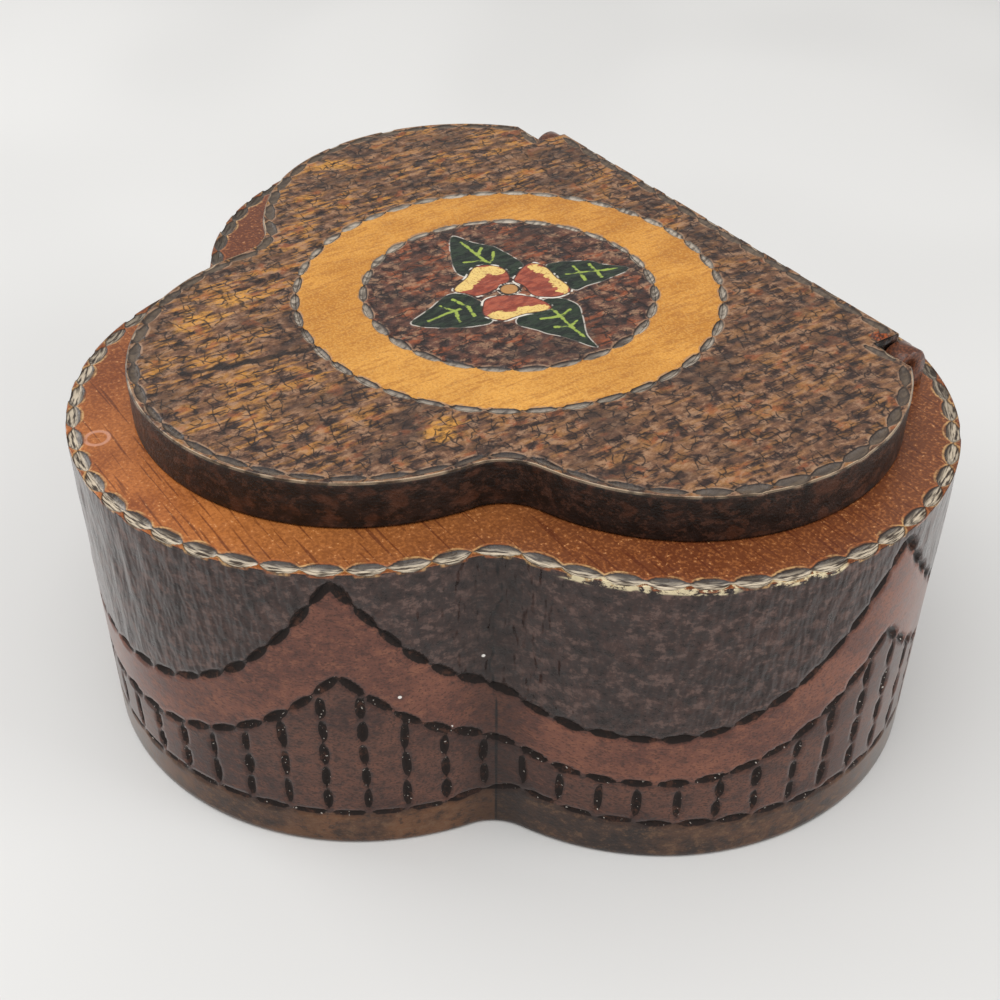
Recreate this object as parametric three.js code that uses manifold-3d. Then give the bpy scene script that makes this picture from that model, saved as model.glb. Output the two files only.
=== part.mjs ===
// Three-lobed wooden trinket box with a hinged lid and bands of gouge carving.
// Millimetres, +Z up, front towards -Y, origin under the middle of the box.

import * as THREE from 'three';
import * as BufferGeometryUtils from 'three/addons/utils/BufferGeometryUtils.js';
import Module from 'manifold-3d';

const wasm = await Module();
wasm.setup();

// Plan of the box: a lobe at the front, one at each side, and a straight back.
// Depths are counted from the middle of the front lobe.
const frontLobeRadius = 49.6;
const sideLobeRadius = 49.6;
const sideLobeX = 32;
const sideLobeY = 41.9;
const cleftRadius = 10;
const backCut = 1.3;
const backY = sideLobeY + sideLobeRadius - backCut;

// Heights and walls.
const bodyHeight = 61.3;
const wallThickness = 14;
const floorThickness = 8;
const lidThickness = 8.6;
const lidGap = 0.3;

// The lid follows the plan of the box, inside a rim.
const rimWidth = 10.1;
const backRimWidth = 10.7;
const lidSetBack = 1.15;

// Hinge: a lug at each end of the lid's straight back, with a pin through it.
// The lugs stand this share of the side lobe's radius outside its middle.
const lugAside = 0.347;
const lugInnerX = sideLobeX + lugAside * sideLobeRadius;
const lugThickness = 4.4;
const lugRadius = 3.6;
const lugHeight = 7.8;
const lugFromBack = 11.8;
const lugFoot = 0.6;
const pinFromLidBack = 2.5;
const pinRadius = 0.9;
const pinClearance = 0.3;
const pinDepthInLid = 8;
const lidEndGap = 0.4;
const swingGap = 0.35;
const barrelGap = 0.25;
const openAngle = THREE.MathUtils.degToRad(95);

// A chip broken out of the lid's top over the right pin.
const chipLength = 2;
const chipWidth = 2.7;
const chipDepth = 1.4;
const chipFromEnd = 0.7;
const chipAheadOfPin = 0.6;

// Gouge cuts are almond pits in rows; a pit stands proud of the face it cuts.
const gougeFill = 0.98;
const gougeWidth = 2.3;
const gougeDepth = 1;
const gougeProud = 0.08;

// Cuts along the edges of the rim and the lid lean outwards.
const edgePitch = 6.5;
const edgeGougeWidth = 3.4;
const edgeGougeInset = 1.4;
const edgeGougeTilt = THREE.MathUtils.degToRad(22);

// Facets of the curved outlines.
const frontFacets = 21;
const sideFacets = 16;
const lidFrontFacets = 17;
const lidSideFacets = 12;
const cavityFrontFacets = 13;
const cavitySideFacets = 10;
const barrelFacets = 5;
const pinFacets = 12;

// Swags round the side: rows of cuts that hang low between five peaks. The low
// and high places are shares of the body's height. The first peaks on each side
// of the front are shares of the way round to the middle of the back.
const peakShares = [0.196, 0.582];
const upperSwag = { low: 0.476, peak: 0.953, power: 2.3 };
const lowerSwag = { low: 0.303, peak: 0.641, power: 2.15 };
const swagPitch = 6.2;

// Below them an upright fence of cuts, standing on a level row.
const footRowHeight = 0.134 * bodyHeight;
const footPitch = 7;
const fencePitch = 7.6;
const fenceGap = 1.6;

// Medallion on the lid: a row of cuts outside its plain ring and one inside.
const medallionX = -0.9;
const medallionY = 32.05;
const ringOuterRadius = 37;
const ringInnerRadius = 27.5;
const ringRowOffset = 1.3;
const ringPitch = 6.3;

// The far end of half an outline is counted as its whole length.
const wholeWay = 1;

// Cutting tools run this far past the face they leave by.
const overcut = 1;

// Heights and places that follow from the sizes above.
const lidBottom = bodyHeight + lidGap;
const lidTop = lidBottom + lidThickness;
const lidBackY = backY - backRimWidth;
const lidEndX = lugInnerX - lidEndGap;
const hingeY = lidBackY - pinFromLidBack;
const hingeZ = lidBottom + lidThickness / 2;
const lugY = backY - lugFromBack;
const lugZ = bodyHeight + lugHeight - lugRadius;
const holeRadius = pinRadius + pinClearance;

// At its full opening the notch in the lid's corner just clears the lug.
const lugReach =
  lugRadius - (lugY - hingeY) * Math.cos(openAngle) + (lugZ - hingeZ) * Math.sin(openAngle);
const notchY = hingeY - lugReach - swingGap;

const up = new THREE.Vector3(0, 0, 1);

// A closed geometry becomes a solid once its shared corners are merged.
function solidOf(geometry) {
  const bare = geometry.clone();
  bare.deleteAttribute('normal');
  bare.deleteAttribute('uv');
  const merged = BufferGeometryUtils.mergeVertices(bare);
  const mesh = new wasm.Mesh({
    numProp: 3,
    vertProperties: new Float32Array(merged.attributes.position.array),
    triVerts: new Uint32Array(merged.index.array),
  });
  return new wasm.Manifold(mesh);
}

function geometryOf(solid) {
  const mesh = solid.getMesh();
  const geometry = new THREE.BufferGeometry();
  const corners = new Float32Array(mesh.vertProperties);
  geometry.setAttribute('position', new THREE.BufferAttribute(corners, 3));
  geometry.setIndex(new THREE.BufferAttribute(new Uint32Array(mesh.triVerts), 1));
  geometry.computeVertexNormals();
  return geometry;
}

// A plan outline raised from one height to another.
function prism(points, bottom, top) {
  const shape = new THREE.Shape(points);
  const geometry = new THREE.ExtrudeGeometry(shape, { depth: top - bottom, bevelEnabled: false });
  geometry.translate(0, 0, bottom);
  return solidOf(geometry);
}

// A profile in Y and Z carried along X.
function bar(points, fromX, toX) {
  const shape = new THREE.Shape(points);
  const geometry = new THREE.ExtrudeGeometry(shape, { depth: toX - fromX, bevelEnabled: false });
  const alongY = new THREE.Vector3(0, 1, 0);
  const alongX = new THREE.Vector3(1, 0, 0);
  geometry.applyMatrix4(new THREE.Matrix4().makeBasis(alongY, up, alongX));
  geometry.translate(fromX, 0, 0);
  return solidOf(geometry);
}

// A round rod on the hinge axis.
function rod(radius, fromX, toX) {
  const geometry = new THREE.CylinderGeometry(radius, radius, Math.abs(toX - fromX), pinFacets);
  geometry.rotateZ(Math.PI / 2);
  geometry.translate((fromX + toX) / 2, hingeY, hingeZ);
  return geometry;
}

function angleFrom(centre, point) {
  return Math.atan2(point.y - centre.y, point.x - centre.x);
}

// Right half of the lobed plan, from the middle of the front to a given depth.
function lobes(inset, endY) {
  const front = new THREE.Vector2(0, 0);
  const side = new THREE.Vector2(sideLobeX, sideLobeY);
  const frontRadius = frontLobeRadius - inset;
  const sideRadius = sideLobeRadius - inset;
  const spacing = side.length();
  const toFront = frontRadius + cleftRadius;
  const toSide = sideRadius + cleftRadius;
  const along = (spacing ** 2 + toFront ** 2 - toSide ** 2) / (2 * spacing);
  const aside = Math.sqrt(toFront ** 2 - along ** 2);
  const line = side.clone().normalize();
  const cleft = new THREE.Vector2(line.y, -line.x).multiplyScalar(aside).addScaledVector(line, along);
  const start = -Math.PI / 2;
  const end = Math.asin((endY - side.y) / sideRadius);
  const frontToCleft = angleFrom(front, cleft);
  const cleftToFront = angleFrom(cleft, front);
  const cleftToSide = angleFrom(cleft, side);
  const sideToCleft = angleFrom(side, cleft);
  const path = new THREE.CurvePath();
  path.add(new THREE.EllipseCurve(0, 0, frontRadius, frontRadius, start, frontToCleft));
  path.add(
    new THREE.EllipseCurve(cleft.x, cleft.y, cleftRadius, cleftRadius, cleftToFront, cleftToSide, true),
  );
  path.add(new THREE.EllipseCurve(side.x, side.y, sideRadius, sideRadius, sideToCleft, end));
  return path;
}

// Corners of that half: equal facets up to the cleft, then equal facets to its
// end. The front lobe has an odd number, so one of them faces straight ahead.
function halfOutline(inset, endY, facetsInFront, facetsAtSide) {
  const path = lobes(inset, endY);
  const total = path.getLength();
  const toCleft = path.curves[0].getLength() + path.curves[1].getLength() / 2;
  const points = [];
  for (let i = 0.5; i < facetsInFront / 2; i += 1) {
    points.push(path.getPoint((toCleft * i) / (facetsInFront / 2) / total));
  }
  for (let i = 0; i <= facetsAtSide; i += 1) {
    points.push(path.getPoint(THREE.MathUtils.lerp(toCleft / total, 1, i / facetsAtSide)));
  }
  return points;
}

function bothHalves(half) {
  const left = half.map((point) => new THREE.Vector2(-point.x, point.y));
  return [...half, ...left.reverse()];
}

// A flat run that closes half of an outline, from the end of its curved part.
function closeHalf(path, corners) {
  const end = path.curves.at(-1).getPoint(1);
  const points = [end, ...corners];
  corners.forEach((corner, i) => path.add(new THREE.LineCurve(points[i], corner)));
  return path;
}

// The place at a distance from the front along half of an outline, and the
// direction out of it. Negative distances are on the left.
function placeAt(half, distance) {
  const share = Math.min(Math.abs(distance) / half.getLength(), 1);
  const point = half.getPoint(share);
  const run = half.getTangent(share);
  const side = distance < 0 ? -1 : 1;
  return {
    point: new THREE.Vector2(side * point.x, point.y),
    outward: new THREE.Vector3(side * run.y, -run.x, 0),
  };
}

// Distances that part a stretch evenly, near the pitch.
function evenSteps(from, to, pitch) {
  const count = Math.max(1, Math.round((to - from) / pitch));
  return Array.from({ length: count + 1 }, (_, i) => THREE.MathUtils.lerp(from, to, i / count));
}

// One almond pit: its long axis, the direction it is cut from, and its size.
function pit(centre, along, outward, length, width) {
  const stretch = (gougeDepth + gougeProud) / gougeDepth;
  const geometry = new THREE.OctahedronGeometry(1);
  geometry.scale((length / 2) * stretch, (width / 2) * stretch, gougeDepth + gougeProud);
  const across = new THREE.Vector3().crossVectors(outward, along);
  const place = new THREE.Matrix4().makeBasis(along, across, outward);
  place.setPosition(centre.clone().addScaledVector(outward, gougeProud));
  geometry.applyMatrix4(place);
  return solidOf(geometry);
}

// A pit between two places of a face, which are given with their heights.
function pitBetween(half, from, to, width) {
  const start = at(placeAt(half, from.x).point, from.y);
  const end = at(placeAt(half, to.x).point, to.y);
  const along = end.clone().sub(start);
  const length = along.length() * gougeFill;
  along.normalize();
  const { point, outward } = placeAt(half, (from.x + to.x) / 2);
  outward.addScaledVector(along, -outward.dot(along)).normalize();
  return pit(at(point, (from.y + to.y) / 2), along, outward, length, width);
}

function at(point, z) {
  return new THREE.Vector3(point.x, point.y, z);
}

// Height of a swag row at a share of the way between its two peaks.
function swagHeight(swag, share) {
  return bodyHeight * THREE.MathUtils.lerp(swag.low, swag.peak, Math.abs(2 * share - 1) ** swag.power);
}

// A swag row from peak to peak: distance round the outline against height.
class SwagLine extends THREE.Curve {
  constructor(swag, from, to) {
    super();
    Object.assign(this, { swag, from, to });
  }

  getPoint(share) {
    const distance = THREE.MathUtils.lerp(this.from, this.to, share);
    return new THREE.Vector2(distance, swagHeight(this.swag, share));
  }
}

function chain(half, points, width) {
  return points.slice(1).map((point, i) => pitBetween(half, points[i], point, width));
}

// Cuts along a top edge, leaning outwards, with their middles at given distances.
function edgeRow(half, middles, z) {
  return middles.map((middle) => {
    const { point, outward } = placeAt(half, middle);
    const along = new THREE.Vector3().crossVectors(up, outward);
    const lean = up.clone().multiplyScalar(Math.cos(edgeGougeTilt));
    lean.addScaledVector(outward, Math.sin(edgeGougeTilt));
    const centre = at(point, z).addScaledVector(outward, -edgeGougeInset);
    return pit(centre, along, lean, edgePitch * gougeFill, edgeGougeWidth);
  });
}

// The same distances on the left and on the right, each once.
function mirrored(distances) {
  const left = distances.filter((distance) => distance > 0).map((distance) => -distance);
  return [...distances, ...left];
}

// The swag between two peaks that holds a distance round the body.
function swagAround(peaks, distance) {
  const next = Math.max(1, peaks.findIndex((peak) => distance <= peak));
  return { from: peaks[next - 1], to: peaks[next] };
}

// Swags, fence and foot row round the side of the body.
function sideRows(half, toCleft) {
  const wayRound = half.getLength();
  const right = [...peakShares, wholeWay].map((share) => share * wayRound);
  const peaks = [...right.map((peak) => -peak).reverse(), ...right];
  const swags = [upperSwag, lowerSwag].flatMap((swag) =>
    peaks.slice(1).flatMap((to, i) => {
      const line = new SwagLine(swag, peaks[i], to);
      const count = Math.round(line.getLength() / swagPitch);
      return chain(half, line.getSpacedPoints(count), gougeWidth);
    }),
  );
  const front = evenSteps(-toCleft, toCleft, footPitch);
  const side = evenSteps(toCleft, wayRound, footPitch);
  const joints = [...side.slice(1).map((step) => -step).reverse(), ...front, ...side.slice(1)];
  const foot = chain(half, joints.map((x) => new THREE.Vector2(x, footRowHeight)), gougeWidth);
  const fence = joints.slice(1).flatMap((x) => {
    const { from, to } = swagAround(peaks, x);
    const head = swagHeight(lowerSwag, (x - from) / (to - from)) - fenceGap;
    const levels = evenSteps(footRowHeight + fenceGap, head, fencePitch);
    return chain(half, levels.map((y) => new THREE.Vector2(x, y)), gougeWidth);
  });
  return [...swags, ...foot, ...fence];
}

// A round row of cuts on the lid's top.
function roundRow(radius) {
  const count = Math.round((2 * Math.PI * radius) / ringPitch);
  const length = ((2 * Math.PI * radius) / count) * gougeFill;
  const pits = [];
  for (let k = 0; k < count; k += 1) {
    const angle = (2 * Math.PI * k) / count;
    const along = new THREE.Vector3(-Math.sin(angle), Math.cos(angle), 0);
    const x = medallionX + radius * Math.cos(angle);
    const y = medallionY + radius * Math.sin(angle);
    pits.push(pit(new THREE.Vector3(x, y, lidTop), along, up, length, gougeWidth));
  }
  return pits;
}

function subtractAll(solid, tools) {
  return tools.reduce((left, tool) => left.subtract(tool), solid);
}

// Profile of a lug: straight sides and a half-round top.
function lugProfile() {
  const shape = new THREE.Path();
  shape.moveTo(lugY + lugRadius, bodyHeight - lugFoot);
  shape.lineTo(lugY + lugRadius, lugZ);
  shape.absarc(lugY, lugZ, lugRadius, 0, Math.PI, false);
  shape.lineTo(lugY - lugRadius, bodyHeight - lugFoot);
  return shape.getPoints(pinFacets / 2);
}

const bodyOutline = bothHalves(halfOutline(0, backY, frontFacets, sideFacets));

function makeBody() {
  const cavityOutline = bothHalves(
    halfOutline(wallThickness, backY - wallThickness, cavityFrontFacets, cavitySideFacets),
  );
  const cavity = prism(cavityOutline, floorThickness, bodyHeight + overcut);
  const curve = lobes(0, backY);
  const toCleft = curve.curves[0].getLength() + curve.curves[1].getLength() / 2;
  const half = closeHalf(curve, [new THREE.Vector2(0, backY)]);
  const middles = [
    ...evenSteps(-toCleft, toCleft, edgePitch),
    ...mirrored(evenSteps(toCleft, half.getLength(), edgePitch).slice(1, -1)),
    half.getLength(),
  ];
  const cuts = [...edgeRow(half, middles, bodyHeight), ...sideRows(half, toCleft)];
  let body = subtractAll(prism(bodyOutline, 0, bodyHeight).subtract(cavity), cuts);
  for (const side of [-1, 1]) {
    const ends = [side * lugInnerX, side * (lugInnerX + lugThickness)].sort((a, b) => a - b);
    body = body.add(bar(lugProfile(), ends[0], ends[1]));
    body = body.subtract(solidOf(rod(holeRadius, ends[0] - overcut, ends[1] + overcut)));
  }
  return body;
}

// What rounds off the lid's lower back edge, so that it turns clear of the rim.
function barrelTool() {
  const radius = hingeZ - bodyHeight - barrelGap;
  const first = THREE.MathUtils.degToRad(-95);
  const last = THREE.MathUtils.degToRad(-40);
  const points = [];
  for (let i = 0; i <= barrelFacets; i += 1) {
    const angle = THREE.MathUtils.lerp(first, last, i / barrelFacets);
    points.push(
      new THREE.Vector2(hingeY + radius * Math.cos(angle), hingeZ + radius * Math.sin(angle)),
    );
  }
  const behind = hingeY + radius + overcut;
  points.push(new THREE.Vector2(behind, points.at(-1).y));
  points.push(new THREE.Vector2(behind, lidBottom - overcut));
  points.push(new THREE.Vector2(points[0].x, lidBottom - overcut));
  return bar(points.reverse(), -lidEndX - overcut, lidEndX + overcut);
}

function chipTool() {
  const geometry = new THREE.BoxGeometry(chipLength, chipWidth, 2 * chipDepth);
  const x = lidEndX - chipFromEnd - chipLength / 2;
  geometry.translate(x, hingeY - chipAheadOfPin, lidTop);
  return solidOf(geometry);
}

// The lid's outline is cut all round, but for the ends of its tongue.
function lidEdgeRow() {
  const curve = lobes(rimWidth, notchY - lidSetBack);
  const toCleft = curve.curves[0].getLength() + curve.curves[1].getLength() / 2;
  const toNotch = curve.getLength();
  const corner = curve.curves.at(-1).getPoint(1);
  const notch = corner.x - lidEndX;
  const tongue = lidBackY - notchY;
  const half = closeHalf(curve, [
    new THREE.Vector2(lidEndX, corner.y),
    new THREE.Vector2(lidEndX, lidBackY - lidSetBack),
    new THREE.Vector2(0, lidBackY - lidSetBack),
  ]);
  const alongSide = evenSteps(toCleft, toNotch - edgePitch / 2, edgePitch).slice(1);
  const atBack = toNotch + notch + tongue;
  const alongBack = evenSteps(atBack + edgePitch / 2, half.getLength(), edgePitch).slice(0, -1);
  const middles = [
    ...evenSteps(-toCleft, toCleft, edgePitch),
    ...mirrored([...alongSide, toNotch + notch / 2, ...alongBack]),
    half.getLength(),
  ];
  const row = edgeRow(half, middles, lidTop);
  return row.map((cut) => cut.translate([0, lidSetBack, 0]));
}

function makeLid() {
  const half = halfOutline(rimWidth, notchY - lidSetBack, lidFrontFacets, lidSideFacets);
  half.forEach((point) => point.setY(point.y + lidSetBack));
  half.push(new THREE.Vector2(lidEndX, notchY));
  half.push(new THREE.Vector2(lidEndX, lidBackY));
  const outline = bothHalves(half);
  const cuts = [
    ...lidEdgeRow(),
    ...roundRow(ringOuterRadius + ringRowOffset),
    ...roundRow(ringInnerRadius - ringRowOffset),
    barrelTool(),
    chipTool(),
  ];
  for (const side of [-1, 1]) {
    const hole = rod(holeRadius, side * (lidEndX - pinDepthInLid), side * (lidEndX + overcut));
    cuts.push(solidOf(hole));
  }
  return subtractAll(prism(outline, lidBottom, lidTop), cuts);
}

function named(name, geometry, material) {
  const mesh = new THREE.Mesh(geometry, material);
  mesh.name = name;
  return mesh;
}

const stainedWood = new THREE.MeshStandardMaterial({ color: 0x6e4634, roughness: 0.55, metalness: 0 });
const darkWood = new THREE.MeshStandardMaterial({ color: 0x50352a, roughness: 0.5, metalness: 0 });
const steel = new THREE.MeshStandardMaterial({ color: 0x77726a, roughness: 0.45, metalness: 0.9 });

const box = new THREE.Group();
box.add(named('body', geometryOf(makeBody()), stainedWood));
box.add(named('lid', geometryOf(makeLid()), darkWood));
for (const [name, side] of [['hinge_pin_left', -1], ['hinge_pin_right', 1]]) {
  const inner = side * (lidEndX - pinDepthInLid + pinClearance);
  const outer = side * (lugInnerX + lugThickness);
  box.add(named(name, rod(pinRadius, inner, outer), steel));
}

// The origin is under the middle of the body's plan.
const plan = new THREE.Box2().setFromPoints(bodyOutline);
box.position.y = -plan.getCenter(new THREE.Vector2()).y;

export default box;
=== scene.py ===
import math
from itertools import product

import bmesh
import bpy
import numpy as np
from mathutils import Matrix, Vector


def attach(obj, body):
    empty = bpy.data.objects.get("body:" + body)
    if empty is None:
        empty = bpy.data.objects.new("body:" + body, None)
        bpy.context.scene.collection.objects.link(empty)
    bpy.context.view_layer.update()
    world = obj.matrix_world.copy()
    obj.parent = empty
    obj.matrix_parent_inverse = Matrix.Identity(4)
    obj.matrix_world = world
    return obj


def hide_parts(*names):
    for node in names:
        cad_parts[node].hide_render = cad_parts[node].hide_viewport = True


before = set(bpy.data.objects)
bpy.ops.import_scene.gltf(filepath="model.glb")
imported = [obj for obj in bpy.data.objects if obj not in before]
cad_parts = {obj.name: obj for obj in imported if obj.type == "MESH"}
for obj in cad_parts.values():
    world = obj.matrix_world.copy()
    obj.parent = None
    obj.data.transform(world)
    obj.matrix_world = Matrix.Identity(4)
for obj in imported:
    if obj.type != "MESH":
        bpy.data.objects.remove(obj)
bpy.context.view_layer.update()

# Three-lobed wooden trinket box. Lengths are millimetres, in the frame of the
# CAD model, until a mesh is written in metres.
METRES = 0.001

# Plan
LOBE_RADIUS = 49.6
FRONT_LOBE = np.array([0.0, -20.36])
SIDE_LOBE = np.array([32.0, 21.54])
CLEFT_RADIUS = 10.0
BACK_Y = 69.84

# Body
BODY_TOP = 61.3
WALL = 14.0
FLOOR = 8.0
FOOT_ROW = 7.8

# Swags: low and high places and the power of their curve. They peak at these
# distances round the side from the middle of the front, and at the middle of the back.
UPPER_SWAG = (28.9, 60.0, 2.5)
LOWER_SWAG = (18.4, 40.4, 2.5)
PEAKS = (47.4, 141.0)
FENCE_GAP = 0.9

# Lid
LID_BOTTOM = 61.6
LID_TOP = 70.2
THICKNESS = LID_TOP - LID_BOTTOM
LID_INSET = 10.1
LID_SET_BACK = 1.15
LID_BACK = 59.14
LID_END = 48.81
NOTCH_FRONT = 52.97
MEDALLION = np.array([-0.9, 11.69])
OUTER_ROW = 38.3
INNER_ROW = 26.2

# Hinge
HINGE_Y = 56.64
HINGE_Z = 65.9
BARREL = 4.35
HOLE = 1.2
HOLE_DEPTH = 8.0
LUG_X = (49.21, 53.61)
LUG_Y = 58.04
LUG_RADIUS = 3.6
LUG_Z = 65.5
LUG_FOOT = 60.7
CHIP = (47.2, 56.0)

# Gouge cuts, pointed at both ends. Those of the edges lie in a plane that leans out.
SWAG_PITCH = 6.0
FENCE_PITCH = 6.8
POST_PITCH = 6.0
CUT_WIDTH = 2.0
POST_WIDTH = 1.75
FOOT_WIDTH = 1.6
CUT_DEPTH = 0.9
RING_WIDTH = 1.6
RING_DEPTH = 0.7
RING_COUNTS = (40, 27)
EDGE_PITCH = 6.5
EDGE_WIDTH = 2.6
EDGE_DEPTH = 0.7
EDGE_INSET = 1.25
TILT_SIN = math.sin(math.radians(14))
TILT_COS = math.cos(math.radians(14))
NO_CUT = -4.0

# Columns of the meshes: from the front's middle to the cleft, on to the side lobe's
# end, then along the straight runs. Plain faces have one in SPARSE of them.
BODY_STEPS = (126, 192)
BODY_BACK_STEPS = 72
LID_STEPS = (102, 144)
NOTCH_STEPS = 12
TONGUE_STEPS = 10
LID_BACK_STEPS = 84
SPARSE = 4

# Strips with the edge cuts, the reach of the lid's round rings of points, how far
# the hammered top lies under the board's face, and the share inside an eased edge
RIM_ZONE = 4.8
EDGE_ZONE = 3.3
ROUND_ZONE = 41.0
LID_SINK = 0.13
EASED = 0.985

# Flower, from the middle of the medallion: leaves with their veins, and petals
# with the path of the cream brush stroke on each
LEAVES = [
    [(-22.3, 1.9), (-18.3, 4.3), (-14, 6.6), (-9.3, 7.3), (-5.5, 6.9), (-3.4, 2.7),
     (-8, -4.2), (-12.7, -3.8)],
    [(5.9, 22.7), (2.2, 19.8), (-1.3, 16.6), (-3.2, 10.4), (5.9, 9.5), (6.9, 12.3), (7.1, 17.2)],
    [(0.4, -21), (-2, -15.5), (-4.3, -9.6), (0.6, -6.7), (7.4, -8.5), (7.2, -12.6), (4.2, -17.8)],
    [(24.3, 1.3), (18.4, -1.7), (14.2, -3.9), (9.5, -5.1), (6.5, 4.1),
     (10.9, 6.9), (15.1, 5.2), (20.3, 2.2)],
]
VEINS = [
    [(-19.6, 2.4), (-10.5, 2.1)],
    [(-12.9, 5.4), (-10.6, 3.6), (-9.8, 2.3)],
    [(-15.5, 4.3), (-13.6, 2.4)],
    [(-12.4, -1.6), (-11.4, 2.0)],
    [(1.3, 11.7), (4.6, 21.0)],
    [(-0.4, 14.6), (2.2, 14.2), (5.2, 13.2)],
    [(0.8, 17.4), (3.2, 17.2), (6.0, 16.4)],
    [(1.2, -18), (0.9, -11.1)],
    [(-1.6, -13.6), (1.0, -12.2), (4.6, -13.6)],
    [(-2.2, -10.6), (0.9, -9.4), (4.4, -10.4)],
    [(9.9, 2.3), (20.6, 1.4)],
    [(12.0, 4.8), (12.8, 2.2), (11.6, -1.2)],
    [(15.4, 3.6), (16.2, 1.8), (15.2, -0.8)],
]
PETALS = [
    [(-5.3, -8.6), (-7.9, -4.1), (-10, -1.2), (-9.6, 1.4), (-6.9, 3.4), (-3.6, 2.7),
     (-1.8, 0.6), (-0.9, -5.8), (-2.5, -7.6)],
    [(-5.4, 7.1), (-5.4, 9.1), (-3, 10.3), (0.9, 9.8), (5.1, 9.6), (6.9, 8.5),
     (6.8, 5.1), (4.5, 2.3), (0.9, 2.6), (-2.3, 2.4)],
    [(2.5, -7.5), (0.6, -5.4), (1.2, -2), (4, 1.6), (7.4, 2.9), (9.8, 2.2),
     (8.7, -3.5), (8.6, -6.6), (7.3, -8.3), (4.9, -8.9)],
]
CREAM = [
    [(-5.2, -7.0), (-7.0, -3.6), (-8.3, -0.4), (-7.2, 1.7)],
    [(-4.2, 8.5), (-1.4, 9.2), (3.6, 8.5), (5.7, 7.9)],
    [(8.7, 1.2), (7.8, -2.2), (7.5, -5.6), (6.3, -7.4)],
]
CREAM_REACH = (1.7, 1.2, 1.3)

# Wear seen on the lid, from the medallion's middle: a scratch (middle, half size and
# turn in degrees) and amber places (middle and size). They reach down by MARK_DEPTH.
SCRATCH = ((-4.6, -51.0), (0.8, 11.0), -12)
AMBER_PLACES = [
    (-62, -2, 4), (-23.5, -43, 5), (-21, -51, 5), (-33, 1.5, 3), (6, -28.5, 3), (30, -34, 4),
]
MARK_DEPTH = 9

# White dust on the wall, a worn ring on the rim, and pale chips along the rim
DUST = [(51.1, -23.2, 52.0), (49.4, -27.6, 40.6), (45.2, -40.7, 35.1), (48.2, -32.9, 26.2)]
DUST_SIZE = (0.34, 0.34, 0.34)
RIM_MARK = (-10.9, -63.9, BODY_TOP)
RIM_CHIPS = [(63.9, -16.8), (72.6, -7.0), (79.1, 8.6)]

# Looks: the side where the edge cuts get their brightest painted highlight and the amber
# ring turns lighter, the way round at which the foot's stain changes, and the mix
# node's colour sockets
FRONT_RIGHT = (0.74, -0.67, 0)
CLEFT_WAY = 73.0
MIX_COLOURS = (6, 7)
MIX_RESULT = 2

random = np.random.default_rng(11)


def noise_at(points, cell, seed):
    """Smooth noise from -1 to 1 at points, which wanders over a cell's width."""
    place = np.asarray(points, float) / cell + seed * 17.31
    low = np.floor(place)
    part = place - low
    part = part * part * (3 - 2 * part)
    total = np.zeros(len(place))
    for corner in product((0, 1), repeat=place.shape[1]):
        knot = low + corner
        mixed = knot @ np.array([127.1, 311.7, 74.7])[: place.shape[1]]
        value = np.modf(np.abs(np.sin(mixed) * 43758.5453))[0]
        weight = np.prod(np.where(corner, part, 1 - part), axis=1)
        total += weight * value
    return total * 2 - 1


def stack(*parts):
    """Columns side by side, where a number stands for a whole column."""
    size = max(len(part) for part in parts if np.ndim(part))
    return np.column_stack([part if np.ndim(part) else np.full(size, part) for part in parts])


def margin(along, across, length, width):
    """Distance inside the pointed outline of a gouge cut, negative outside it."""
    return width / 2 * (1 - np.abs(2 * along / length) ** 2.7) - np.abs(across)


def scoop(inside, width, depth):
    """Depth of a round-bottomed cut at a distance inside its outline."""
    share = np.clip(2 * inside / width, 0, 1)
    return depth * share * (2 - share)


def half_arcs(inset, set_back, end_y):
    """Right half of the lobed plan as arcs: centre, radius, angles, and +1 or -1 outwards."""
    front = FRONT_LOBE + (0, set_back)
    side = SIDE_LOBE + (0, set_back)
    radius = LOBE_RADIUS - inset
    line = side - front
    spacing = np.linalg.norm(line)
    line /= spacing
    aside = math.sqrt((radius + CLEFT_RADIUS) ** 2 - spacing**2 / 4)
    hollow = (front + side) / 2 + aside * np.array([line[1], -line[0]])

    def turn(centre, point):
        return math.atan2(point[1] - centre[1], point[0] - centre[0])

    end = math.asin((end_y - side[1]) / radius)
    return [
        (front, radius, -math.pi / 2, turn(front, hollow), 1),
        (hollow, CLEFT_RADIUS, turn(hollow, front), turn(hollow, side), -1),
        (side, radius, turn(side, hollow), end, 1),
    ]


def arc_lengths(arcs):
    return [abs(end - start) * radius for _, radius, start, end, _ in arcs]


def along_arcs(arcs, distance):
    """Points at distances along the arcs, and the directions out of the plan there."""
    lengths = arc_lengths(arcs)
    ends = np.cumsum(lengths)
    points = np.zeros((len(distance), 2))
    outward = np.zeros((len(distance), 2))
    which = np.searchsorted(ends, distance - 1e-9).clip(0, len(arcs) - 1)
    for i, (centre, radius, start, end, sign) in enumerate(arcs):
        here = which == i
        share = (distance[here] - (ends[i] - lengths[i])) / lengths[i]
        angle = start + share * (end - start)
        ray = np.stack([np.cos(angle), np.sin(angle)], 1)
        points[here] = centre + radius * ray
        outward[here] = sign * ray
    return points, outward


def lobed_half(arcs, front_steps, side_steps):
    """Columns along the right half: equal steps to the cleft, then to the end."""
    lengths = arc_lengths(arcs)
    to_cleft = lengths[0] + lengths[1] / 2
    front = np.linspace(0, to_cleft, front_steps + 1)
    side = np.linspace(to_cleft, sum(lengths), side_steps + 1)
    return along_arcs(arcs, np.concatenate([front, side[1:]]))


def straight(start, end, steps, outward):
    """Columns along a straight run, after its first point."""
    share = np.linspace(0, 1, steps + 1)[1:, None]
    points = np.asarray(start) + share * (np.asarray(end) - np.asarray(start))
    return points, np.tile(np.asarray(outward, float), (steps, 1))


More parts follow.
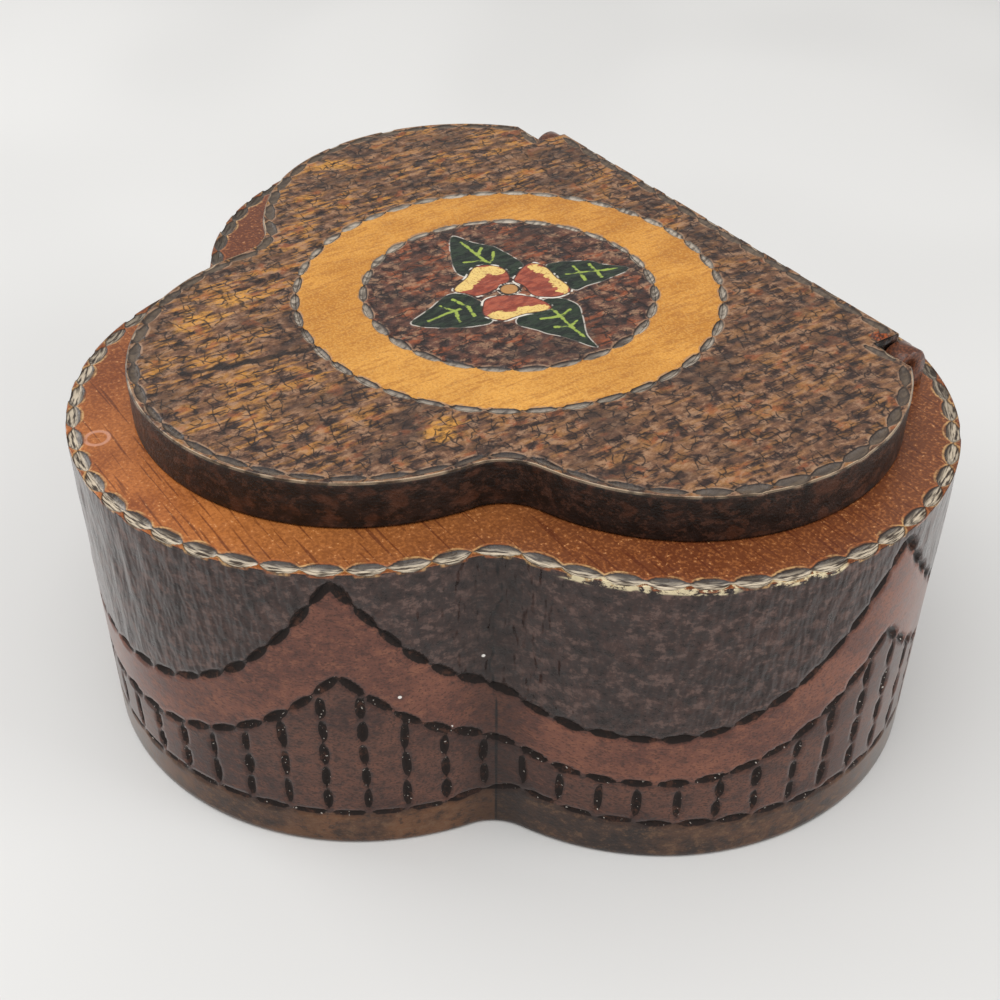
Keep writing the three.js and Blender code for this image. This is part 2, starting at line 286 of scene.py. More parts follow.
def both_halves(parts):
    """The whole loop of columns, from the middle of the front and anticlockwise."""
    points = np.concatenate([p for p, _ in parts])
    outward = np.concatenate([o for _, o in parts])
    flip = np.array([-1, 1])
    return (
        np.concatenate([points, points[-2:0:-1] * flip]),
        np.concatenate([outward, outward[-2:0:-1] * flip]),
    )


def distances(points):
    """Distance along a closed loop at each of its points, and its whole length."""
    steps = np.linalg.norm(np.roll(points, -1, 0) - points, axis=1)
    return np.concatenate([[0], np.cumsum(steps)[:-1]]), steps.sum()


def signed_way(distance, length):
    """Distance round a loop from the front's middle, negative on its left."""
    return np.where(distance > length / 2, distance - length, distance)


def offset_from(middle, distance, length):
    """The shorter way round a loop from a middle to each distance."""
    return (distance - middle + length / 2) % length - length / 2


class Shell:
    """Vertices, faces and named fields of one piece, gathered ring by ring."""

    def __init__(self, **fields):
        self.defaults = fields
        self.points = []
        self.fields = {name: [] for name in fields}
        self.faces = []
        self.count = 0

    def ring(self, xy, z, **fields):
        return self.add(stack(xy, z), **fields)

    def add(self, points, **fields):
        size = len(points)
        self.points.append(np.asarray(points, float))
        for name, default in self.defaults.items():
            value = fields.get(name, default)
            self.fields[name].append(np.broadcast_to(value, size).astype(float))
        self.count += size
        return np.arange(self.count - size, self.count)

    def bridge(self, many, few):
        """Faces from a ring to the next, which it returns. The first may have a
        whole multiple of the next one's points."""
        times = len(many) // len(few)
        for j in range(len(few)):
            near, far = few[j], few[(j + 1) % len(few)]
            run = [many[(j * times + k) % len(many)] for k in range(times + 1)]
            if times == 1:
                self.faces.append((near, far, run[1], run[0]))
                continue
            middle = times // 2
            for k in range(times):
                apex = near if k < middle else far
                self.faces.append((apex, run[k + 1], run[k]))
            self.faces.append((near, far, run[middle]))
        return few

    def fan(self, ring, centre):
        for j in range(len(ring)):
            self.faces.append((ring[j], ring[(j + 1) % len(ring)], centre))

    def build(self, name, material):
        mesh = bpy.data.meshes.new(name)
        corners = np.concatenate(self.points) * METRES
        mesh.from_pydata(corners.tolist(), [], [tuple(int(i) for i in f) for f in self.faces])
        for field, values in self.fields.items():
            attribute = mesh.attributes.new(field, "FLOAT", "POINT")
            attribute.data.foreach_set("value", np.concatenate(values).astype(np.float32))
        edit = bmesh.new()
        edit.from_mesh(mesh)
        bmesh.ops.recalc_face_normals(edit, faces=edit.faces)
        edit.to_mesh(mesh)
        edit.free()
        mesh.shade_smooth()
        mesh.materials.append(material)
        piece = bpy.data.objects.new(name, mesh)
        bpy.context.scene.collection.objects.link(piece)
        return piece


def swag_heights(swag, way, peaks):
    """Height of a swag row at distances round the side."""
    low, peak, power = swag
    after = np.searchsorted(peaks, way).clip(1, len(peaks) - 1)
    share = (way - peaks[after - 1]) / (peaks[after] - peaks[after - 1])
    return low + (peak - low) * np.abs(2 * share - 1) ** power


def foot_heights(way, cleft):
    """The foot row sits higher on the side lobes, and climbs beside the clefts."""
    past = np.abs(way) - cleft
    return FOOT_ROW + np.clip((past + 8) / 16, 0, 1) + 1.6 * np.exp(-((past - 5) / 7) ** 2)


def even_steps(start, end, pitch):
    return np.linspace(start, end, max(1, round((end - start) / pitch)) + 1)


def edge_cuts(distance, length, middles):
    """Per column: how far along its own edge cut it lies, and that cut's length and width."""
    beside = offset_from(middles, distance[:, None], length)
    nearest = np.abs(beside).argmin(1)
    shift, size, wide = random.uniform(-1, 1, (3, len(middles)))[:, nearest]
    along = beside[np.arange(len(distance)), nearest] + 0.12 * shift
    return along, EDGE_PITCH * (1.02 + 0.04 * size), EDGE_WIDTH * (0.97 + 0.1 * wide)


def edge_bite(out, rise, cuts):
    """Edge cuts at a place out from the edge and above it: margin, lean and depth."""
    along, length, width = cuts
    lean = (out + EDGE_INSET) * TILT_COS - rise * TILT_SIN
    above = (out + EDGE_INSET) * TILT_SIN + rise * TILT_COS
    inside = margin(along, lean, length, width)
    depth = np.maximum(above + scoop(inside, width, EDGE_DEPTH), 0) * (inside > 0)
    inside = np.where(inside > 0, np.minimum(inside, 2 * depth), inside)
    return inside, lean, depth


def side_cuts(distance, length, heights, peaks, cleft):
    """Margin of the swags, fence and foot row on the grid of the body's side."""
    field = np.full((len(heights), len(distance)), NO_CUT)

    def mark(start, end, width):
        run = end - start
        size = np.linalg.norm(run) * random.uniform(0.98, 1.06)
        middle = (start + end) / 2 + random.uniform(-0.1, 0.1, 2)
        turn = math.atan2(run[1], run[0]) + random.uniform(-0.05, 0.05)
        beside = offset_from(middle[0], distance, length)
        rows = np.abs(heights - middle[1]) < size
        columns = np.abs(beside) < size
        rise = (heights[rows] - middle[1])[:, None]
        along = beside[columns] * math.cos(turn) + rise * math.sin(turn)
        across = rise * math.cos(turn) - beside[columns] * math.sin(turn)
        cut = margin(along, across, size, width * random.uniform(0.82, 1.12))
        patch = np.ix_(rows, columns)
        field[patch] = np.maximum(field[patch], cut)

    def chain(points, width=CUT_WIDTH):
        for start, end in zip(points, points[1:]):
            mark(start, end, width)

    all_posts = []
    for before, after in zip(peaks, peaks[1:]):
        for swag in (UPPER_SWAG, LOWER_SWAG):
            fine = np.linspace(before, after, 400)
            curve = stack(fine, swag_heights(swag, fine, peaks))
            steps = np.linalg.norm(np.diff(curve, axis=0), axis=1)
            run = np.concatenate([[0], np.cumsum(steps)])
            knots = np.interp(even_steps(0, run[-1], SWAG_PITCH), run, fine)
            chain(stack(knots, swag_heights(swag, knots, peaks)))
        count = round((after - before) / FENCE_PITCH)
        posts = before + (after - before) * (np.arange(count) + 0.5) / count
        all_posts.extend(posts)
        for post in posts:
            foot = foot_heights(post, cleft) + FENCE_GAP
            head = swag_heights(LOWER_SWAG, post, peaks) - FENCE_GAP
            sway = random.uniform(-0.35, 0.35)
            levels = even_steps(foot, head, POST_PITCH)
            chain(stack(post + sway * np.linspace(0, 1, len(levels)), levels), POST_WIDTH)
    joints = np.array([*all_posts, all_posts[0] + length])
    foot = foot_heights(signed_way(joints, length), cleft)
    chain(stack(joints, foot), FOOT_WIDTH)
    return field


def add_lug(shell, side):
    """A lug with its pin hole: rings of the same count round the hole."""
    turns = np.linspace(0, math.pi, 17)
    arch = stack(LUG_Y + LUG_RADIUS * np.cos(turns), LUG_Z + LUG_RADIUS * np.sin(turns))
    front, back = LUG_Y - LUG_RADIUS, LUG_Y + LUG_RADIUS
    down = np.linspace(LUG_Z, LUG_FOOT, 8)[1:]
    foot = stack(np.linspace(front, back, 9)[1:], LUG_FOOT)
    profile = np.concatenate([arch, stack(front, down), foot, stack(back, down[-2::-1])])
    axis = np.array([HINGE_Y, HINGE_Z])
    ray = profile - axis
    hole = axis + HOLE * ray / np.linalg.norm(ray, axis=1, keepdims=True)
    middle = profile.mean(0)
    eased = middle + (profile - middle) * 0.93

    def cross(yz, x):
        points = stack(side * x, yz)
        uneven = noise_at(points, 2.5, 5) * 0.08
        return shell.add(points + stack(0.0, uneven, uneven), across=9.0)

    low, high = LUG_X
    rings = [cross(hole, low), cross(eased, low), cross(profile, low + 0.4)]
    rings += [cross(profile, (low + high) / 2), cross(profile, high - 0.4)]
    rings += [cross(eased, high), cross(hole, high), cross(hole, (low + high) / 2)]
    for a, b in zip(rings, rings[1:] + rings[:1]):
        shell.bridge(a, b)


def body_plan(arcs, back_y):
    half = lobed_half(arcs, *BODY_STEPS)
    return both_halves([half, straight(half[0][-1], (0, back_y), BODY_BACK_STEPS, (0, 1))])


def body_shell():
    arcs = half_arcs(0, 0, BACK_Y)
    outer, outward = body_plan(arcs, BACK_Y)
    inner, _ = body_plan(half_arcs(WALL, 0, BACK_Y - WALL), BACK_Y - WALL)
    distance, length = distances(outer)
    way = signed_way(distance, length)
    lengths = arc_lengths(arcs)
    cleft = lengths[0] + lengths[1] / 2
    peaks = np.array([-length / 2, -PEAKS[1], -PEAKS[0], *PEAKS, length / 2])
    upper = swag_heights(UPPER_SWAG, way, peaks)
    lower = swag_heights(LOWER_SWAG, way, peaks)
    foot = foot_heights(way, cleft)

    # Side, from the rim's edge down
    near_top = BODY_TOP - np.array([0.25, 0.6, 1.0, 1.4, 1.9])
    rows = np.linspace(BODY_TOP - 2.5, 0.5, 87)
    heights = np.concatenate([near_top, rows])
    cuts = side_cuts(distance, length, heights, peaks, cleft)
    beside = even_steps(cleft, length / 2, EDGE_PITCH)[1:]
    middles = np.concatenate([even_steps(-cleft, cleft, EDGE_PITCH), beside, -beside[:-1]])
    rim_cuts = edge_cuts(distance, length, middles)
    shell = Shell(
        across=0.0, upper=20.0, lower=20.0, foot=20.0, cut=NO_CUT, edge=NO_CUT, lean=0.0,
        way=0.0, crease=9.0,
    )

    def level(z, inset, **fields):
        return shell.ring(outer - outward * inset, z, way=way, **fields)

    def crease_at(z):
        """Distance to the crack in each cleft, which wanders in the scorched wood."""
        wobble = 1.3 * noise_at(np.array([[z, 3.0]]), 7.0, 1)[0]
        wobble += 0.5 * noise_at(np.array([[z, 9.0]]), 2.5, 2)[0]
        wobble *= min(max((z - UPPER_SWAG[0]) / 8, 0.12), 1)
        return np.abs(np.abs(way) - cleft - wobble)

    rings = []
    for i, z in enumerate(heights):
        rise = z - BODY_TOP
        edge, lean, bite = edge_bite(0.0, rise, rim_cuts)
        above = z - upper
        around = stack(way, z)
        hammer = noise_at(around / (1.6, 5.0), 1.0, 3) + 0.6 * noise_at(around / (3.4, 9.0), 1.0, 4)
        plain = noise_at(stack(outer, z), 14.0, 6)
        ripple = 0.13 * hammer * np.clip(above / 3, 0, 1) * np.clip(-rise / 4, 0, 1) + 0.06 * plain
        crease = crease_at(z)
        groove = 0.35 * np.exp(-((crease / 0.35) ** 2)) * (above > 0)
        inset = scoop(cuts[i], CUT_WIDTH, CUT_DEPTH) + bite * TILT_SIN - ripple + groove
        marks = {"cut": cuts[i], "edge": edge, "lean": lean, "crease": crease}
        marks |= {"across": rise, "upper": above, "lower": z - lower, "foot": z - foot}
        rings.append(level(z - bite * TILT_COS, inset[:, None], **marks))
    for a, b in zip(rings, rings[1:]):
        shell.bridge(a, b)

    # Underside, plain
    quarter = outer[::SPARSE]
    few = shell.ring(quarter * EASED, 0.0, across=-BODY_TOP - 1)
    bevel = level(0.0, 0.5, across=-BODY_TOP, upper=-30.0, lower=-17.0, foot=-8.0)
    last = shell.bridge(shell.bridge(rings[-1], bevel), few)
    middle = np.array([0.0, 8.0])
    for share in np.linspace(0.8, 0.1, 7):
        points = middle + (quarter * EASED - middle) * share
        uneven = 0.12 * noise_at(points, 16.0, 8)
        last = shell.bridge(last, shell.ring(points, np.abs(uneven), across=-BODY_TOP - 20))
    shell.fan(last, shell.ring([middle], 0.05, across=-BODY_TOP - 20)[0])

    # Rim's top, from the edge in
    last = rings[0]
    for inset in np.concatenate([np.arange(0, 3.4, 0.3), [3.8, RIM_ZONE]]):
        edge, lean, bite = edge_bite(-inset, 0.0, rim_cuts)
        drawn_in = (inset + bite * TILT_SIN)[:, None]
        marks = {"across": inset, "edge": edge, "lean": lean}
        last = shell.bridge(last, level(BODY_TOP - bite * TILT_COS, drawn_in, **marks))
    start = outer - outward * RIM_ZONE
    for share in (0.18, 0.38, 0.58, 0.78, 0.95, 1.0):
        points = start + (inner - start) * share
        uneven = 0.05 * noise_at(points, 9.0, 9)
        across = RIM_ZONE + (WALL - RIM_ZONE) * share
        last = shell.bridge(last, shell.ring(points, BODY_TOP + uneven, across=across))

    # Cavity
    few_inner = inner[::SPARSE]
    centre = np.array([0.0, 10.0])
    for z in np.concatenate([[60.9], np.linspace(56, 10.5, 9), [9.0]]):
        last = shell.bridge(last, shell.ring(few_inner, z, across=WALL + BODY_TOP - z))
    for share in (0.975, 0.9, 0.75, 0.6, 0.45, 0.3, 0.15):
        points = centre + (few_inner - centre) * share
        uneven = 0.1 * noise_at(points, 12.0, 10)
        last = shell.bridge(last, shell.ring(points, FLOOR + uneven, across=70.0))
    shell.fan(last, shell.ring([centre], FLOOR, across=70.0)[0])
    for side in (-1, 1):
        add_lug(shell, side)
    return shell


def lid_plan(arcs):
    """The lid's outline, with a notch in front of each lug and a tongue between them."""
    half = lobed_half(arcs, *LID_STEPS)
    notch = straight(half[0][-1], (LID_END, NOTCH_FRONT), NOTCH_STEPS, (0, 1))
    end = straight((LID_END, NOTCH_FRONT), (LID_END, LID_BACK), TONGUE_STEPS, (1, 0))
    back = straight((LID_END, LID_BACK), (0, LID_BACK), LID_BACK_STEPS, (0, 1))
    return both_halves([half, notch, end, back])


def lid_edge_middles(arcs):
    """Where the lid's edge cuts lie: all round, but for the ends of its tongue."""
    lengths = arc_lengths(arcs)
    cleft = lengths[0] + lengths[1] / 2
    corner = sum(lengths)
    notch = along_arcs(arcs, np.array([corner]))[0][0, 0] - LID_END
    back = corner + notch + LID_BACK - NOTCH_FRONT
    middle = back + LID_END
    side = even_steps(cleft, corner - EDGE_PITCH / 2, EDGE_PITCH)[1:]
    behind = even_steps(back + EDGE_PITCH / 2, middle, EDGE_PITCH)[:-1]
    right = np.concatenate([side, [corner + notch / 2], behind])
    return np.concatenate([even_steps(-cleft, cleft, EDGE_PITCH), right, -right, [middle]])


def off_barrel(points):
    """The lid's lower back edge, drawn in to the round that turns clear of the rim."""
    y = points[:, 1] - HINGE_Y
    z = points[:, 2] - HINGE_Z
    far = np.hypot(y, z)
    pull = np.where((y > 0) & (z < 0) & (far > BARREL), BARREL / np.maximum(far, 1e-6), 1.0)
    return np.column_stack([points[:, 0], HINGE_Y + y * pull, HINGE_Z + z * pull])


def ring_row(points, radius, count, seed):
    """Margin of the cuts of one round row at places on the lid's top."""
    offset = points - MEDALLION
    reach = np.hypot(offset[:, 0], offset[:, 1])
    turn = np.arctan2(offset[:, 1], offset[:, 0]) / (2 * math.pi) * count
    which = np.round(turn).astype(int) % count
    jitter = np.random.default_rng(seed).uniform(-1, 1, (count, 3))[which]
    pitch = 2 * math.pi * radius / count
    along = (turn - np.round(turn)) * pitch + 0.12 * jitter[:, 0]
    across = reach - radius + 0.08 * jitter[:, 1]
    return margin(along, across, pitch * 1.02, RING_WIDTH * (1 + 0.1 * jitter[:, 2]))


def smooth_loop(corners, steps=6):
    """A closed curve through the corners."""
    b = np.asarray(corners, float)
    a, c, d = np.roll(b, 1, 0), np.roll(b, -1, 0), np.roll(b, -2, 0)
    t = np.linspace(0, 1, steps, endpoint=False)[:, None, None]
    curve = 2 * b + (c - a) * t + (2 * a - 5 * b + 4 * c - d) * t**2 + (3 * b - a - 3 * c + d) * t**3
    loop = (curve / 2).transpose(1, 0, 2).reshape(-1, 2)
    return np.vstack([loop, loop[:1]])


def from_path(points, path):
    """Distance of each point from a run of straight steps."""
    path = np.asarray(path, float)
    start = path[:-1]
    run = path[1:] - start
    ray = points[:, None] - start
    share = np.clip((ray * run).sum(2) / (run**2).sum(1), 0, 1)
    return np.linalg.norm(ray - share[..., None] * run, axis=2).min(1)


def in_outline(points, corners):
    """Distance inside a closed outline, negative outside it."""
    loop = smooth_loop(corners)
    a, b = loop[:-1], loop[1:]
    x, y = points[:, :1], points[:, 1:]
    spans = (a[:, 1] > y) != (b[:, 1] > y)
    rise = np.where(a[:, 1] == b[:, 1], 1.0, b[:, 1] - a[:, 1])
    crossing = a[:, 0] + (y - a[:, 1]) * (b[:, 0] - a[:, 0]) / rise
    inside = (spans & (x < crossing)).sum(1) % 2 == 1
    far = from_path(points, loop)
    return np.where(inside, far, -far)


def flower_fields(offset):
    """Margins of the leaves and petals, and distances to the veins and cream strokes."""
    fields = {"leaf": -9.0, "vein": 9.0, "petal": -9.0, "cream": 9.0}
    fields = {name: np.full(len(offset), value) for name, value in fields.items()}
    near = np.hypot(offset[:, 0], offset[:, 1]) < 27
    place = offset[near]
    if len(place):
        fields["leaf"][near] = np.max([in_outline(place, leaf) for leaf in LEAVES], axis=0)
        fields["vein"][near] = np.min([from_path(place, vein) for vein in VEINS], axis=0)
        petals = np.array([in_outline(place, petal) for petal in PETALS])
        strokes = [from_path(place, path) - reach for path, reach in zip(CREAM, CREAM_REACH)]
        own = petals.argmax(0), np.arange(len(place))
        fields["petal"][near] = petals[own]
        fields["cream"][near] = np.array(strokes)[own]
    return fields


def lid_fields(points):
    offset = points - MEDALLION
    reach = np.hypot(offset[:, 0], offset[:, 1])
    outer, inner = RING_COUNTS
    row = np.maximum(ring_row(points, OUTER_ROW, outer, 3), ring_row(points, INNER_ROW, inner, 4))
    chip = 1.3 - np.max(np.abs((points - CHIP) / (1.0, 1.35)), axis=1)
    side = np.where(np.abs(reach - OUTER_ROW) < 4, OUTER_ROW, INNER_ROW)
    return {
        "reach": reach,
        "row": np.maximum(row, NO_CUT),
        "lean": reach - side,
        "chip": np.maximum(chip, -3),
        **flower_fields(offset),
    }


def lid_relief(points, fields, from_edge):
    """Height of the lid's top: hammered outside and inside the plain ring."""
    coarse = noise_at(points / (0.9, 1.5), 2.6, 21) + 0.6 * noise_at(points, 1.5, 22)
    hammered = (fields["reach"] > OUTER_ROW + 0.8) | (fields["reach"] < INNER_ROW - 0.8)
    broken = noise_at(points, 0.8, 23)
    height = -LID_SINK + 0.13 * coarse * hammered * np.clip((from_edge - 2) / 3, 0, 1)
    height += 0.12 * noise_at(points, 25.0, 24)
    height -= scoop(fields["row"], RING_WIDTH, RING_DEPTH)
    height -= np.clip(fields["chip"] * 3, 0, 1) * (1.1 + 0.35 * broken)
    return height


def lid_shell():
    arcs = half_arcs(LID_INSET, LID_SET_BACK, NOTCH_FRONT)
    outline, outward = lid_plan(arcs)
    distance, length = distances(outline)
    way = signed_way(distance, length)
    ray = outline - MEDALLION
    far = np.linalg.norm(ray, axis=1, keepdims=True)
    ray /= far
    facing = np.sum(ray * outward, axis=1, keepdims=True)
    along, size, width = edge_cuts(distance, length, lid_edge_middles(arcs))
    worn = np.clip((np.abs(way - 45) - 45) / 15, 0, 1)
    cuts = along, size, width * (0.5 + 0.36 * worn)
    shell = Shell(
        reach=60.0, row=NO_CUT, petal=-9.0, cream=9.0, leaf=-9.0, vein=9.0, chip=-3.0,
        fall=0.0, edge=NO_CUT, lean=0.0, inset=9.0,
    )

    def top(points, from_edge=9.0):
        fields = lid_fields(points)
        z = LID_TOP + lid_relief(points, fields, from_edge)
        return shell.ring(points, z, **fields)

    # Medallion and the rest of the top, from the middle out
    centre = top(MEDALLION[None, :] + (0.0, 0.01))[0]
    bands = [(8, 0.5, 5.0), (4, 5.0, 11.0), (2, 11.0, 24.5), (1, 24.5, ROUND_ZONE)]
    previous = None
    for skip, start, end in bands:
        for reach in np.arange(start, end - 0.01, 0.44):
            ring = top(MEDALLION + ray[::skip] * reach)
            if previous is None:
                shell.fan(ring, centre)
            else:
                shell.bridge(ring, previous)
            previous = ring
    round_edge = MEDALLION + ray * ROUND_ZONE
    inner_edge = outline - ray * EDGE_ZONE / facing
    span = np.linalg.norm(inner_edge - round_edge, axis=1)
    for share in np.linspace(0, 1, 36):
        points = round_edge + (inner_edge - round_edge) * share
        ring = top(points, EDGE_ZONE + span * (1 - share))
        shell.bridge(ring, previous)
        previous = ring
    for inset in np.arange(EDGE_ZONE - 0.35, -0.01, -0.35):
        points = outline - ray * inset / facing
        edge, lean, bite = edge_bite(-inset, 0.0, cuts)
        fields = lid_fields(points) | {"edge": edge, "lean": lean, "inset": inset}
        z = LID_TOP + lid_relief(points, fields, inset) - bite * TILT_COS
        points = points - outward * (bite * TILT_SIN)[:, None]
        ring = shell.ring(points, z, **fields)
        shell.bridge(ring, previous)
        previous = ring

    # Wall, with a pin hole in each end of the tongue
    falls = np.array([0.35, 0.7, 1.1, 1.6, 2.3, 3.1, 4.0, 4.9, 5.8, 6.6, 7.3, 7.9, 8.3, 8.6])
    wall = [previous]
    for fall in falls:
        edge, lean, bite = edge_bite(0.0, -fall, cuts)
        uneven = 0.1 * noise_at(stack(outline, fall * 2), 5.0, 25)
        inset = bite * TILT_SIN + uneven * (fall < 8) - 0.1
        inset = np.where(np.abs(outward[:, 0]) == 1, 0, inset)
        xy = outline - outward * inset[:, None]
        z = LID_TOP - LID_SINK * (1 - fall / THICKNESS) - fall - bite * TILT_COS
        points = off_barrel(stack(xy, z))
        wall.append(shell.add(points, fall=fall, edge=edge, lean=lean, inset=-fall))
    columns = len(outline)
    low = sum(LID_STEPS) + NOTCH_STEPS
    high = low + TONGUE_STEPS
    ends = {(low, high): 1, (columns - high, columns - low): -1}
    for a, b in zip(wall, wall[1:]):
        for j in range(columns):
            if not any(low <= j < high for low, high in ends):
                k = (j + 1) % columns
                shell.faces.append((a[j], a[k], b[k], b[j]))
    for (low, high), side in ends.items():
        add_pin_hole(shell, wall, low, high, side)

    # Underside, plain
    last = wall[-1]
    few = outline[::SPARSE]
    for share in (EASED, 0.95, 0.85, 0.7, 0.55, 0.4, 0.25, 0.1):
        xy = MEDALLION + (few - MEDALLION) * share
        z = LID_BOTTOM + np.abs(0.06 * noise_at(xy, 14.0, 26))
        last = shell.bridge(last, shell.add(off_barrel(stack(xy, z)), fall=THICKNESS + 2))
    shell.fan(last, shell.ring([MEDALLION], LID_BOTTOM, fall=THICKNESS + 2)[0])
    return shell


def add_pin_hole(shell, wall, low, high, side):
    """A face of the tongue's end, from its border in to the pin's hole, and the hole."""
    loop = [wall[0][j] for j in range(low, high + 1)]
    loop += [ring[high] for ring in wall[1:]]
    loop += [wall[-1][j] for j in range(high - 1, low - 1, -1)]
    loop += [ring[low] for ring in wall[-2:0:-1]]
    corners = np.concatenate(shell.points)[loop]
    axis = np.array([HINGE_Y, HINGE_Z])
    ray = corners[:, 1:] - axis
    rim = axis + HOLE * ray / np.linalg.norm(ray, axis=1, keepdims=True)
    mouth = shell.add(stack(side * LID_END, rim), fall=4.0)
    end = shell.add(stack(side * LID_END - side * HOLE_DEPTH, rim), fall=4.0)
    shell.bridge(loop, mouth)
    shell.bridge(mouth, end)
    centre = shell.add([[side * (LID_END - HOLE_DEPTH), *axis]], fall=4.0)
    shell.fan(end, centre[0])


def linear(screen):
    """Linear colour from three screen values of 0 to 255."""
    shares = [value / 255 for value in screen]
    return (*(s / 12.92 if s <= 0.04045 else ((s + 0.055) / 1.055) ** 2.4 for s in shares), 1.0)


class Finish:
    """Node graph of one material. Its methods take and return sockets, and take
    plain numbers in their place. A colour may also be three screen values."""

    def __init__(self, name):
        self.material = bpy.data.materials.new(name)
        self.material.use_nodes = True
        self.nodes = self.material.node_tree.nodes
        self.links = self.material.node_tree.links
        self.shader = self.nodes["Principled BSDF"]
        place = self.node("ShaderNodeTexCoord").outputs["Object"]
        self.place = self.vector("MULTIPLY", place, (1 / METRES,) * 3)

    def feed(self, socket, value):
        if isinstance(value, bpy.types.NodeSocket):
            self.links.new(value, socket)
        else:
            socket.default_value = value

    def fill(self, node, **inputs):
        """Feed inputs by name, with _ in place of a space."""
        for name, value in inputs.items():
            self.feed(node.inputs[name.replace("_", " ")], value)

    def node(self, kind, *values, **inputs):
        """A new node, with its first inputs fed in order and others by name."""
        node = self.nodes.new(kind)
        for socket, value in zip(node.inputs, values):
            self.feed(socket, value)
        self.fill(node, **inputs)
        return node

    def vector(self, operation, *values):
        node = self.node("ShaderNodeVectorMath", *values)
        node.operation = operation
        return node.outputs["Value" if operation in ("DOT_PRODUCT", "LENGTH") else "Vector"]

    def calc(self, operation, *values):
        node = self.node("ShaderNodeMath", *values)
        node.operation = operation
        return node.outputs["Value"]

    def both(self, first, *masks):
        """Product of masks: sockets, numbers, or tuples of what ramp takes."""
        total = self.ramp(*first) if isinstance(first, tuple) else first
        for mask in masks:
            mask = self.ramp(*mask) if isinstance(mask, tuple) else mask
            total = self.calc("MULTIPLY", total, mask)
        return total

    def field(self, name):
        node = self.node("ShaderNodeAttribute")
        node.attribute_name = name
        return node.outputs["Fac"]

    def ramp(self, value, low, high, start=0.0, end=1.0):
        """Smooth change from start to end while the value goes from low to high."""
        node = self.node("ShaderNodeMapRange", value, low, high, start, end)
        node.interpolation_type = "SMOOTHSTEP"
        return node.outputs["Result"]

    def blend(self, amount, under, over):
        node = self.node("ShaderNodeMix", Factor=amount)
        node.data_type = "RGBA"
        for index, tone in zip(MIX_COLOURS, (under, over)):
            self.feed(node.inputs[index], linear(tone) if isinstance(tone, tuple) else tone)
        return node.outputs[MIX_RESULT]

    def tint(self, base, value, low, high, tone, amount=1.0):
        """A tone that covers the base while the value goes from low to high."""
        return self.blend(self.ramp(value, low, high, 0.0, amount), base, tone)

    def paint(self, base, tone, *masks):
        """A tone over the base where all of its masks let it through."""
        return self.blend(self.both(*masks), base, tone)

    def worn(self, tooth, base, light, dark, amount):
        """A colour with lighter and darker places of every size down to specks."""
        base = self.tint(base, tooth, 0.5, 0.64, light, amount)
        return self.tint(base, tooth, 0.49, 0.36, dark, amount)

    def noise(self, size, shift, detail=1.0, crisp=0.5):
        """Noise whose features are size = (x, y, z) millimetres across."""
        place = self.vector("MULTIPLY", self.place, tuple(1 / s for s in size))
        place = self.vector("ADD", place, (shift,) * 3)
        kind = "ShaderNodeTexNoise"
        return self.node(kind, Vector=place, Scale=1.0, Detail=detail, Roughness=crisp).outputs["Fac"]

    def flat_noise(self, place, scale, detail):
        node = self.node("ShaderNodeTexNoise", Vector=place, Scale=scale, Detail=detail)
        node.noise_dimensions = "2D"
        return node

    def pair(self, along, across):
        return self.node("ShaderNodeCombineXYZ", along, across).outputs["Vector"]

    def gaps(self, place, size, warp):
        """Distance to the gaps between uneven cells on a flat pair of coordinates."""
        place = self.vector("MULTIPLY", place, (1 / size[0], 1 / size[1], 0))
        wander = self.flat_noise(place, 0.8, 1.0).outputs["Color"]
        place = self.vector("ADD", place, self.vector("MULTIPLY", wander, (warp,) * 3))
        node = self.node("ShaderNodeTexVoronoi", Vector=place, Scale=1.0)
        node.voronoi_dimensions = "2D"
        node.feature = "DISTANCE_TO_EDGE"
        return node.outputs["Distance"]

    def streaks(self, along, across):
        """Fine marks that run the length of a cut."""
        place = self.vector("MULTIPLY", self.pair(along, across), (0.35, 3.0, 0))
        return self.flat_noise(place, 1.0, 2.0).outputs["Fac"]

    def dot(self, direction):
        """How far a place lies along a direction, in millimetres."""
        return self.vector("DOT_PRODUCT", self.place, direction)

    def spot(self, centre, size, turn=0.0, wander=None):
        """Distance from a centre as a share of an oval's size, 1 on its outline."""
        node = self.node("ShaderNodeMapping", Vector=self.place, Location=centre, Scale=size)
        node.vector_type = "TEXTURE"
        self.fill(node, Rotation=(0, 0, math.radians(turn)))
        far = self.vector("LENGTH", node.outputs["Vector"])
        if wander is None:
            return far
        return self.calc("ADD", far, self.ramp(wander, 0.3, 0.7, -0.4, 0.4))

    def gloss(self, weak, strong):
        """Coat that grows where a surface turns away, as old varnish does."""
        facing = self.node("ShaderNodeLayerWeight").outputs["Facing"]
        return self.ramp(facing, 0.5, 0.85, weak, strong)

    def finish(self, base, rough, height, coat=0.0, coat_rough=0.3, specular=0.5):
        """Colour and roughness, and a bump from a height in millimetres."""
        bump = self.node("ShaderNodeBump", Distance=METRES, Height=height).outputs["Normal"]
        self.fill(self.shader, Base_Color=base, Roughness=rough, Normal=bump)
        self.fill(self.shader, Coat_Weight=coat, Coat_Roughness=coat_rough)
        self.fill(self.shader, Specular_IOR_Level=specular)
        return self.material


